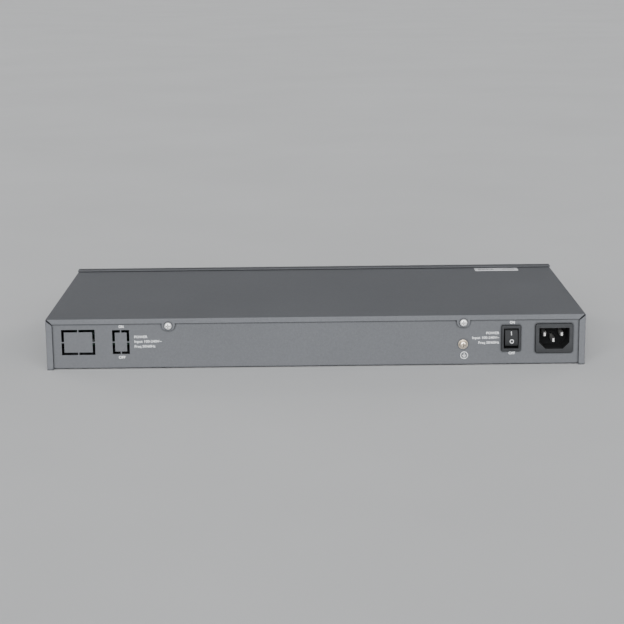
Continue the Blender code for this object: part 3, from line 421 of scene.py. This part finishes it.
def paint_cad():
    """Gives each CAD node the better material of its slot."""
    for part in frame["record"]["subparts"]:
        shown = frame["nodes"][part["node"]]
        look = LOOKS[part["material_slot"]]
        if not shown.material_slots:
            shown.data.materials.append(look)
        for place in shown.material_slots:
            place.material = look


# ---- mesh helpers -----------------------------------------------------------------------


def finish_piece(name, bm, look, body=CASE):
    """Links a mesh made in the row frame and lets it ride on a body."""
    bmesh.ops.recalc_face_normals(bm, faces=bm.faces)
    mesh = bpy.data.meshes.new(name)
    bm.to_mesh(mesh)
    bm.free()
    mesh.materials.append(LOOKS[look])
    piece = bpy.data.objects.new(name, mesh)
    bpy.context.scene.collection.objects.link(piece)
    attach(piece, body)


def add_box(bm, low, high, bevel=0.0):
    """Box between two corners, with its edges rounded off if bevel is given."""
    made = bmesh.ops.create_cube(bm, size=1.0)["verts"]
    size = Vector(high) - Vector(low)
    centre = (Vector(high) + Vector(low)) / 2.0
    bmesh.ops.transform(bm, matrix=Matrix.LocRotScale(centre, None, size), verts=made)
    if bevel:
        edges = {edge for vert in made for edge in vert.link_edges}
        bmesh.ops.bevel(
            bm, geom=list(edges), offset=bevel, segments=2, affect="EDGES", profile=0.5
        )


def add_ring(bm, centre, outer, inner, turn, sides=40):
    """Flat ring of ink in its own plane, then turned and moved into place."""
    before = set(bm.verts)
    rows = []
    for radius, lift in ((outer, 0.0), (outer, INK), (inner, INK), (inner, 0.0)):
        row = []
        for step in range(sides):
            angle = math.tau * step / sides
            row.append(bm.verts.new((radius * math.cos(angle), radius * math.sin(angle), lift)))
        rows.append(row)
    for index, row in enumerate(rows):
        other = rows[(index + 1) % len(rows)]
        for step in range(sides):
            after = (step + 1) % sides
            bm.faces.new([row[step], row[after], other[after], other[step]])
    fresh = [vert for vert in bm.verts if vert not in before]
    matrix = Matrix.Translation(centre) @ turn.to_4x4()
    bmesh.ops.transform(bm, matrix=matrix, verts=fresh)


def add_bar(bm, centre, size, turn):
    """Flat bar of ink with its width and height in the face's own plane."""
    made = bmesh.ops.create_cube(bm, size=1.0)["verts"]
    scale = Matrix.Diagonal((*size, INK, 1.0))
    lift = Matrix.Translation((0.0, 0.0, INK / 2.0))
    matrix = Matrix.Translation(centre) @ turn.to_4x4() @ lift @ scale
    bmesh.ops.transform(bm, matrix=matrix, verts=made)


CAPITAL = 0.7  # height of a capital over the font's size


def add_text(bm, words, centre, height, turn, bold, width=None):
    """Words as thin ink. Height is a capital letter's, bold is how far the strokes grow,
    as a share of the font's size, and a width squeezes the line to fit."""
    curve = bpy.data.curves.new("words", "FONT")
    curve.body = words
    curve.extrude = 0.5
    curve.offset = bold
    curve.resolution_u = 3
    curve.align_x = "CENTER"
    temporary = bpy.data.objects.new("words", curve)
    bpy.context.scene.collection.objects.link(temporary)
    graph = bpy.context.evaluated_depsgraph_get()
    mesh = bpy.data.meshes.new_from_object(temporary.evaluated_get(graph))
    bpy.data.objects.remove(temporary, do_unlink=True)
    bpy.data.curves.remove(curve)
    left = min(vert.co.x for vert in mesh.vertices)
    right = max(vert.co.x for vert in mesh.vertices)
    tall = height / CAPITAL
    wide = width / (right - left) if width else tall
    start = Matrix.Translation((-(left + right) / 2.0, -CAPITAL / 2.0, 0.5))
    scale = Matrix.Diagonal((wide, tall, INK, 1.0))
    mesh.transform(Matrix.Translation(centre) @ turn.to_4x4() @ scale @ start)
    bm.from_mesh(mesh)
    bpy.data.meshes.remove(mesh)


# ---- rear wall --------------------------------------------------------------------------


RATING_LINES = (  # words, lift above the middle line and width, in millimetres
    ("POWER", 4.6, 10.6),
    ("Input 100-240V~", 0.75, 22.0),
    ("Freq 50/60Hz", -3.35, 16.9),
)
RATING_MIDDLE = 0.0225
RATING_CAPITAL = 0.00205
SPARE_RATING_EDGE, RATING_EDGE = 0.1479, -0.1497  # where each block of lines is flush
SPARE_X = 0.15868  # middle of the spare switch blank
WORD_MIDDLES = (SPARE_X - 0.0002, SWITCH_X - 0.0009)  # printed a little off the cut-outs
WORD_CAPITAL = 0.0021
WORD_BOLD, RATING_BOLD = 0.02, 0.012
WORDS = (("ON", 0.0358, 0.0040), ("OFF", 0.0101, 0.0053))  # words, height, width


def rear_point(x, z):
    """Place on the rear wall, just clear of its paint."""
    return Vector((x, REAR_WALL + INK_GAP, z))


def make_rear_print():
    """White words by both switch places, with the supply rating beside each."""
    turn = FACES["rear"]
    bm = bmesh.new()
    for x in WORD_MIDDLES:
        for words, z, width in WORDS:
            add_text(bm, words, rear_point(x, z), WORD_CAPITAL, turn, WORD_BOLD, width)
    for words, lift, width in RATING_LINES:
        z, width = RATING_MIDDLE + lift * MM, width * MM
        for x in (SPARE_RATING_EDGE - width / 2.0, RATING_EDGE + width / 2.0):
            add_text(bm, words, rear_point(x, z), RATING_CAPITAL, turn, RATING_BOLD, width)
    finish_piece("rear_wall_print", bm, "ink_white")


EARTH_MARK = (EARTH_X - 0.0010, 0.0086)  # x and z of its middle
EARTH_RING, EARTH_STROKE = 0.0031, 0.00044
EARTH_STEM = (0.0010, 0.0022)  # height of its middle above the mark's, and length
EARTH_BARS = ((0.0, 0.0034), (0.0008, 0.0023), (0.0016, 0.0012))  # drop and width


def make_earth_mark():
    """Protective earth sign in a ring, under the earth screw."""
    turn = FACES["rear"]
    centre = rear_point(*EARTH_MARK)
    bm = bmesh.new()
    add_ring(bm, centre, EARTH_RING, EARTH_RING - EARTH_STROKE, turn)
    lift, length = EARTH_STEM
    add_bar(bm, centre + Vector((0, 0, lift)), (EARTH_STROKE, length), turn)
    for drop, width in EARTH_BARS:
        add_bar(bm, centre - Vector((0, 0, drop)), (width, EARTH_STROKE), turn)
    finish_piece("earth_mark", bm, "ink_white")


ROCKER_TILT = math.radians(11.0)
ROCKER_CROWN, ROCKER_RADIUS = 0.0064, 0.040  # face from the pivot, and its curve
MARK_OFFSET = 0.0033  # of each mark from the rocker's middle
MARK_BAR = (0.00044, 0.0031)
MARK_RING = (0.0016, 0.00118)  # outer and inner radius
MARK_RING_SHIFT = 0.0003


def rocker_face(pivot, along, lift):
    """Point on the rocker's crowned face at rest, along metres up from its middle."""
    angle = along / ROCKER_RADIUS
    sag = ROCKER_RADIUS * (1.0 - math.cos(angle))
    out = ROCKER_CROWN - sag + lift * math.cos(angle)
    up = (ROCKER_RADIUS + lift) * math.sin(angle)
    cos, sin = math.cos(ROCKER_TILT), math.sin(ROCKER_TILT)
    return pivot.y + out * cos - up * sin, pivot.z + out * sin + up * cos


def make_rocker_marks():
    """White bar on the pressed end and ring on the raised end, on the curved face."""
    hinge = next(joint for joint in frame["joints"] if joint["name"] == "rocker_hinge")
    pivot = Vector(hinge["pos_m"])
    bar, ring = bmesh.new(), bmesh.new()
    add_bar(bar, (0.0, MARK_OFFSET, 0.0), MARK_BAR, FACES["top"])
    add_ring(ring, (MARK_RING_SHIFT, -MARK_OFFSET, 0.0), *MARK_RING, FACES["top"], 32)
    for name, bm in (("rocker_mark_on", bar), ("rocker_mark_off", ring)):
        bmesh.ops.subdivide_edges(bm, edges=bm.edges[:], cuts=1)
        for vert in bm.verts:
            across, along, lift = vert.co
            vert.co = (pivot.x - across, *rocker_face(pivot, along, lift + 2.0 * INK_GAP))
        finish_piece(name, bm, "ink_white", ROCKER)


# ---- cover label ------------------------------------------------------------------------


RULES = 4
RULE_LENGTH = (0.010, 0.016)  # shortest and longest
RULE_HIGH, RULE_PITCH = 0.0007, 0.0026
FIRST_RULE = 0.0032  # middle of the first rule from the label's far edge
LABEL_MARGIN = 0.003
TALL_BARS_START = 0.017  # from the label's right edge
TALL_BAR_HIGH = 0.0068
TALL_BAR_WIDTHS, TALL_BAR_GAPS = (0.0002, 0.0003, 0.0005), (0.0003, 0.0005)


def make_label_print():
    """Pale rules and a block of bars in place of what a label says."""
    low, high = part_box("cover_label")
    draw = random.Random(7)
    bm = bmesh.new()
    top = high[2] + INK_GAP
    for row in range(RULES):
        length = draw.uniform(*RULE_LENGTH)
        y = high[1] - FIRST_RULE - row * RULE_PITCH
        centre = (low[0] + LABEL_MARGIN + length / 2.0, y, top)
        add_bar(bm, centre, (length, RULE_HIGH), FACES["top"])
    x, y = high[0] - TALL_BARS_START, middle_of("cover_label").y
    while x < high[0] - LABEL_MARGIN:
        width = draw.choice(TALL_BAR_WIDTHS)
        add_bar(bm, (x, y, top), (width, TALL_BAR_HIGH), FACES["top"])
        x += width + draw.choice(TALL_BAR_GAPS)
    finish_piece("label_print", bm, "ink_grey")


# ---- front ------------------------------------------------------------------------------


JACK_SIDES = ("left", "middle", "right")
JACK_COLUMNS = 4
JACK_PITCH = 0.014
JACK_HALF = 0.0059  # half the width of a jack's hole
JACK_HOLE_HIGH = 0.0069
JACK_DEEP = 0.013
JACK_ROWS = {"lower": 0.0139, "upper": 0.0232}  # lower edge of the holes
LINER = 0.00035
LINER_START = 0.0005  # behind the front of the shell
INSERT_THICK = 0.0012
CLEAR = 0.00005  # air between a made piece and the hole it sits in
CONTACTS = 8
CONTACT_PITCH = 0.00102
CONTACT_HALF, CONTACT_THICK = 0.00016, 0.00018
CONTACT_ROUTE = ((0.0022, 0.0002), (0.0034, 0.0003), (0.0096, 0.0027), (0.0112, 0.0029))
PORT_PITCH, PORTS = 0.0144, 4  # of the optics cage


def jacks():
    """Yields each jack's number, row, middle and the lower edge of its hole."""
    number = 1
    for side in JACK_SIDES:
        middle = middle_of(f"jack_block_{side}").x
        for column in range(JACK_COLUMNS):
            x = middle + JACK_PITCH * (column - 1.5)
            for row in ("upper", "lower"):
                yield number, row, x, JACK_ROWS[row]
                number += 1


def optics_ports():
    """Middle of each port of the optics cage."""
    middle = middle_of("optics_cage").x
    for port in range(PORTS):
        yield middle + PORT_PITCH * (port - 1.5)


def make_jack_inserts():
    """Black insert at the back and the contact side of every jack."""
    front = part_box("jack_block_left")[0][1]
    mouth, floor = front + LINER_START, front + JACK_DEEP - INSERT_THICK - 2.0 * CLEAR
    back = front + JACK_DEEP - CLEAR
    bm = bmesh.new()
    for _, row, x, bottom in jacks():
        top = bottom + JACK_HOLE_HIGH
        left, right = x - JACK_HALF + CLEAR, x + JACK_HALF - CLEAR
        low = (left, back - INSERT_THICK + CLEAR, bottom + CLEAR)
        add_box(bm, low, (right, back, top - CLEAR))
        if row == "upper":
            inner = (bottom + CLEAR, bottom + LINER)
        else:
            inner = (top - LINER, top - CLEAR)
        add_box(bm, (left, mouth, inner[0]), (right, floor, inner[1]))
        for sign in (-1, 1):
            edges = sorted((x + sign * (JACK_HALF - CLEAR), x + sign * (JACK_HALF - LINER)))
            low = (edges[0], mouth, bottom + LINER + CLEAR)
            add_box(bm, low, (edges[1], floor, top - LINER - CLEAR))
    finish_piece("jack_inserts", bm, "insert_plastic")


def add_contact(bm, side, front, base, away):
    """One sprung wire: a square section swept along the contact's route."""
    before = None
    for deep, rise in CONTACT_ROUTE:
        ring = []
        for dx, dz in ((-1, 0), (1, 0), (1, 1), (-1, 1)):
            z = base + away * (rise + dz * CONTACT_THICK)
            ring.append(bm.verts.new((side + dx * CONTACT_HALF, front + deep, z)))
        if before is None:
            bm.faces.new(ring)
        else:
            for step in range(4):
                after = (step + 1) % 4
                bm.faces.new([before[step], before[after], ring[after], ring[step]])
        before = ring
    bm.faces.new(before)


def make_jack_contacts():
    """Eight sprung wires in each jack, rising from the mouth towards the back."""
    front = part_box("jack_block_left")[0][1]
    bm = bmesh.new()
    for _, row, x, bottom in jacks():
        away = 1.0 if row == "upper" else -1.0
        base = bottom + LINER if row == "upper" else bottom + JACK_HOLE_HIGH - LINER
        for index in range(CONTACTS):
            side = x + CONTACT_PITCH * (index - (CONTACTS - 1) / 2.0)
            add_contact(bm, side, front, base, away)
    finish_piece("jack_contacts", bm, "contact_gold")


WINDOW_OFFSET = 0.0045  # of each window from the jack's middle
WINDOW_HALF = (0.0012, 0.0006)
WINDOW_BELOW_TOP, WINDOW_ABOVE_BOTTOM = 0.0014, 0.0012
WINDOW_DEPTHS = (-0.00015, 0.0002)  # front and back, behind the face of the shell
WINDOW_BEVEL = 0.00012


def make_jack_lights():
    """Two small windows for each column, between the rows and the edge of the shell."""
    low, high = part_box("jack_block_left")
    wide, tall = WINDOW_HALF
    front, back = (low[1] + depth for depth in WINDOW_DEPTHS)
    for colour, sign in (("green", -1.0), ("amber", 1.0)):
        bm = bmesh.new()
        for _, row, x, _ in jacks():
            z = high[2] - WINDOW_BELOW_TOP if row == "upper" else low[2] + WINDOW_ABOVE_BOTTOM
            x += sign * WINDOW_OFFSET
            corner = (x + wide, back, z + tall)
            add_box(bm, (x - wide, front, z - tall), corner, WINDOW_BEVEL)
        finish_piece(f"jack_lights_{colour}", bm, f"lens_{colour}")


TONGUE_HALF = (0.00045, 0.0024)
TONGUE_LEVELS = (0.0170, 0.0268)
TONGUE_INSET = 0.0006  # of the outermost tongues from the shell's sides
TONGUE_DEPTHS = (-0.00016, 0.0001)  # front and back, behind the face of the shell
TONGUE_BEVEL = 0.0001


def make_shield_springs():
    """Sprung tongues of the metal shells, bent out a little between the columns."""
    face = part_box("jack_block_left")[0][1]
    front, back = (face + depth for depth in TONGUE_DEPTHS)
    wide, tall = TONGUE_HALF
    bm = bmesh.new()
    for side in JACK_SIDES:
        start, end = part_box(f"jack_block_{side}")
        middle = middle_of(f"jack_block_{side}").x
        for gap in range(-JACK_COLUMNS // 2, JACK_COLUMNS // 2 + 1):
            x = middle + JACK_PITCH * gap
            x = min(max(x, start[0] + TONGUE_INSET), end[0] - TONGUE_INSET)
            for z in TONGUE_LEVELS:
                corner = (x + wide, back, z + tall)
                add_box(bm, (x - wide, front, z - tall), corner, TONGUE_BEVEL)
    finish_piece("shield_springs", bm, "jack_shell")


FINGER_DEPTHS = (0.0002, 0.0046)  # start and end, behind the mouth of the cage
FINGER_THICK = 0.0003
FINGER_BEVEL = 0.00008
SIDE_FINGER_OFFSET, SIDE_FINGER_HALF = 0.0065, 0.0008
SIDE_FINGER_LEVELS = (-0.0026, 0.0, 0.0026)
FLAT_FINGERS, FLAT_FINGER_PITCH, FLAT_FINGER_HALF = 4, 0.003, 0.001
FLAT_FINGER_INSET = 0.0009  # from the top and bottom of the cage


def make_cage_springs():
    """Folded strips around the mouth of each optics port."""
    low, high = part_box("optics_cage")
    start, end = (low[1] + depth for depth in FINGER_DEPTHS)
    bm = bmesh.new()
    for x in optics_ports():
        for sign in (-1, 1):
            for level in SIDE_FINGER_LEVELS:
                side = x + sign * SIDE_FINGER_OFFSET
                edges = sorted((side, side - sign * FINGER_THICK))
                z = (low[2] + high[2]) / 2.0 + level
                corner = (edges[1], end, z + SIDE_FINGER_HALF)
                add_box(bm, (edges[0], start, z - SIDE_FINGER_HALF), corner, FINGER_BEVEL)
        for step in range(FLAT_FINGERS):
            side = x + FLAT_FINGER_PITCH * (step - 1.5)
            for z, sign in ((high[2] - FLAT_FINGER_INSET, -1), (low[2] + FLAT_FINGER_INSET, 1)):
                edges = sorted((z, z + sign * FINGER_THICK))
                corner = (side + FLAT_FINGER_HALF, end, edges[1])
                add_box(bm, (side - FLAT_FINGER_HALF, start, edges[0]), corner, FINGER_BEVEL)
    finish_piece("cage_springs", bm, "cage_metal")


PORT_CAPITAL, LIGHT_CAPITAL, RESET_CAPITAL = 0.0020, 0.0015, 0.0016
PORT_BOLD, LIGHT_BOLD = 0.02, 0.015
NUMBER_HEIGHTS = {"upper": 0.0376, "lower": 0.0056}
OPTICS_NUMBER_LIFT = 0.0024  # above the cage
FIRST_OPTICS_PORT = 25
LIGHT_WORDS = ("PWR", "SYS", "25", "26", "27", "28")
LIGHT_START, LIGHT_PITCH = 0.002, 0.006  # of the lights along their light pipe
LIGHT_WORD_HEIGHT, RESET_WORD_HEIGHT = 0.0336, 0.0103


def make_front_print():
    """Port numbers, and plain words by the lights and the reset hole."""
    bm = bmesh.new()

    def write(words, x, z, height, bold):
        place = Vector((x, FRONT_FACE - INK_GAP, z))
        add_text(bm, words, place, height, FACES["front"], bold)

    for number, row, x, _ in jacks():
        write(str(number), x, NUMBER_HEIGHTS[row], PORT_CAPITAL, PORT_BOLD)
    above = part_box("optics_cage")[1][2] + OPTICS_NUMBER_LIFT
    for number, x in enumerate(optics_ports(), FIRST_OPTICS_PORT):
        write(str(number), x, above, PORT_CAPITAL, PORT_BOLD)
    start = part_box("indicator_light_pipe")[0][0] + LIGHT_START
    for index, words in enumerate(LIGHT_WORDS):
        x = start + index * LIGHT_PITCH
        write(words, x, LIGHT_WORD_HEIGHT, LIGHT_CAPITAL, LIGHT_BOLD)
    x = middle_of("reset_button").x
    write("RESET", x, RESET_WORD_HEIGHT, RESET_CAPITAL, LIGHT_BOLD)
    finish_piece("front_panel_print", bm, "ink_white")


# ---- inside -----------------------------------------------------------------------------


CHIP_RULE_HIGH, CHIP_RULE_PITCH = 0.0006, 0.0018
CHIP_RULE_SHARE = 0.6  # of the chip's width
CHIP_DOT_INSET = 0.0014
CHIP_DOT = (0.0005, 0.0002)  # outer and inner radius


def make_chip_print():
    """Pale rules and a corner dot on the memory chip."""
    low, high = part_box("memory_chip")
    centre = middle_of("memory_chip")
    top = high[2] + INK_GAP
    length = (high[0] - low[0]) * CHIP_RULE_SHARE
    bm = bmesh.new()
    for row in (-1, 0, 1):
        place = (centre.x, centre.y + row * CHIP_RULE_PITCH, top)
        add_bar(bm, place, (length, CHIP_RULE_HIGH), FACES["top"])
    corner = (low[0] + CHIP_DOT_INSET, low[1] + CHIP_DOT_INSET, top)
    add_ring(bm, corner, *CHIP_DOT, FACES["top"], 16)
    finish_piece("chip_print", bm, "ink_grey")


SMALL_PARTS = 150
SMALL_HALF = (0.0010, 0.0006)  # half the length and width of a small part
SMALL_HIGH, CAP_HIGH = 0.0006, 0.00064
BODY_SHARE = 0.7  # of a small part's length and width that its dark body takes
CAP_SHARE = 0.15  # of a small part's length that each end cap takes
SMALL_ROOM = 0.003  # kept free around the larger parts
SMALL_EDGE = 0.004  # kept free along the board's edges
NEAR_BOARD = 0.004  # a node that starts lower than this above the board takes up room


def taken_areas(top):
    """Boxes of the nodes that stand on or near the main board's upper face."""
    large = ("base_tray", "top_cover", "front_panel", "main_board")
    for name in frame["nodes"]:
        low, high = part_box(name)
        if low[2] < top + NEAR_BOARD and high[2] > top and name not in large:
            yield low, high


def is_taken(areas, x, y):
    """Whether a place is on or too near one of the boxes."""
    room = SMALL_ROOM
    return any(
        low[0] - room < x < high[0] + room and low[1] - room < y < high[1] + room
        for low, high in areas
    )


def make_board_details():
    """Small surface-mounted parts spread over the open areas of the main board."""
    low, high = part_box("main_board")
    top = high[2] + 2.0 * INK_GAP
    draw = random.Random(21)
    areas = list(taken_areas(top))
    bodies, ends = bmesh.new(), bmesh.new()
    placed = 0
    while placed < SMALL_PARTS:
        x = draw.uniform(low[0] + SMALL_EDGE, high[0] - SMALL_EDGE)
        y = draw.uniform(low[1] + SMALL_EDGE, high[1] - SMALL_EDGE)
        if is_taken(areas, x, y):
            continue
        along_x = draw.random() < 0.5
        half = Vector(SMALL_HALF) if along_x else Vector(SMALL_HALF).yx
        inner = half * BODY_SHARE
        start = (x - inner.x, y - inner.y, top)
        add_box(bodies, start, (x + inner.x, y + inner.y, top + SMALL_HIGH))
        if along_x:
            shift = Vector((half.x * (1.0 - CAP_SHARE), 0.0))
            cap = Vector((half.x * CAP_SHARE, half.y))
        else:
            shift = Vector((0.0, half.y * (1.0 - CAP_SHARE)))
            cap = Vector((half.x, half.y * CAP_SHARE))
        for sign in (-1, 1):
            at = Vector((x, y)) + sign * shift
            add_box(ends, (*(at - cap), top), (*(at + cap), top + CAP_HIGH))
        placed += 1
    finish_piece("surface_parts", bodies, "chip_epoxy")
    finish_piece("surface_part_ends", ends, "screw_metal")


# ---- studio -----------------------------------------------------------------------------


def make_floor():
    """Flat sheet at the height the case stands on."""
    mesh = bpy.data.meshes.new("floor")
    bm = bmesh.new()
    bmesh.ops.create_grid(bm, x_segments=1, y_segments=1, size=FLOOR_SIZE)
    bmesh.ops.translate(bm, vec=(0.0, 0.0, STAND), verts=bm.verts)
    bm.to_mesh(mesh)
    bm.free()
    mesh.materials.append(floor_paper("floor_paper"))
    floor = bpy.data.objects.new("floor", mesh)
    bpy.context.scene.collection.objects.link(floor)


def make_world():
    """Dim surround that brightens towards the horizon, so the floor runs into it."""
    world = bpy.data.worlds.new("studio")
    world.use_nodes = True
    tree = world.node_tree
    back = tree.nodes["Background"]
    ray = node(tree, "TexCoord").outputs["Generated"]
    height = node(tree, "SeparateXYZ", {"Vector": ray}).outputs["Z"]
    strength = spread(tree, height, HORIZON_GLOW, SURROUND, 0.0, HORIZON_REACH)
    tree.links.new(strength, back.inputs["Strength"])
    back.inputs["Color"].default_value = SKY
    bpy.context.scene.world = world


def make_lights():
    """Broad distant lights that shine from their places towards the middle."""
    for name, place, power, softness, colour in SUNS:
        light = bpy.data.lights.new(name, "SUN")
        light.energy = power
        light.angle = math.radians(softness)
        light.color = colour
        lamp = bpy.data.objects.new(name, light)
        lamp.location = place
        lamp.rotation_euler = (-Vector(place)).to_track_quat("-Z", "Y").to_euler()
        bpy.context.scene.collection.objects.link(lamp)


def make_camera():
    """Camera at the photograph's viewing angle, with its small roll."""
    data = bpy.data.cameras.new("camera")
    data.lens, data.sensor_width = CAMERA_LENS, SENSOR
    camera = bpy.data.objects.new("camera", data)
    camera.location = CAMERA_PLACE
    aim = Vector(CAMERA_TARGET) - Vector(CAMERA_PLACE)
    turn = aim.to_track_quat("-Z", "Y").to_matrix() @ Matrix.Rotation(CAMERA_ROLL, 3, "Z")
    camera.rotation_euler = turn.to_euler()
    bpy.context.scene.collection.objects.link(camera)
    bpy.context.scene.camera = camera


def main():
    """Makes the looks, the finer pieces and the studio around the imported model."""
    paint_cad()
    make_rear_print()
    make_earth_mark()
    make_rocker_marks()
    make_label_print()
    make_jack_inserts()
    make_jack_contacts()
    make_jack_lights()
    make_shield_springs()
    make_cage_springs()
    make_front_print()
    make_chip_print()
    make_board_details()
    make_floor()
    make_lights()
    make_world()
    make_camera()


main()
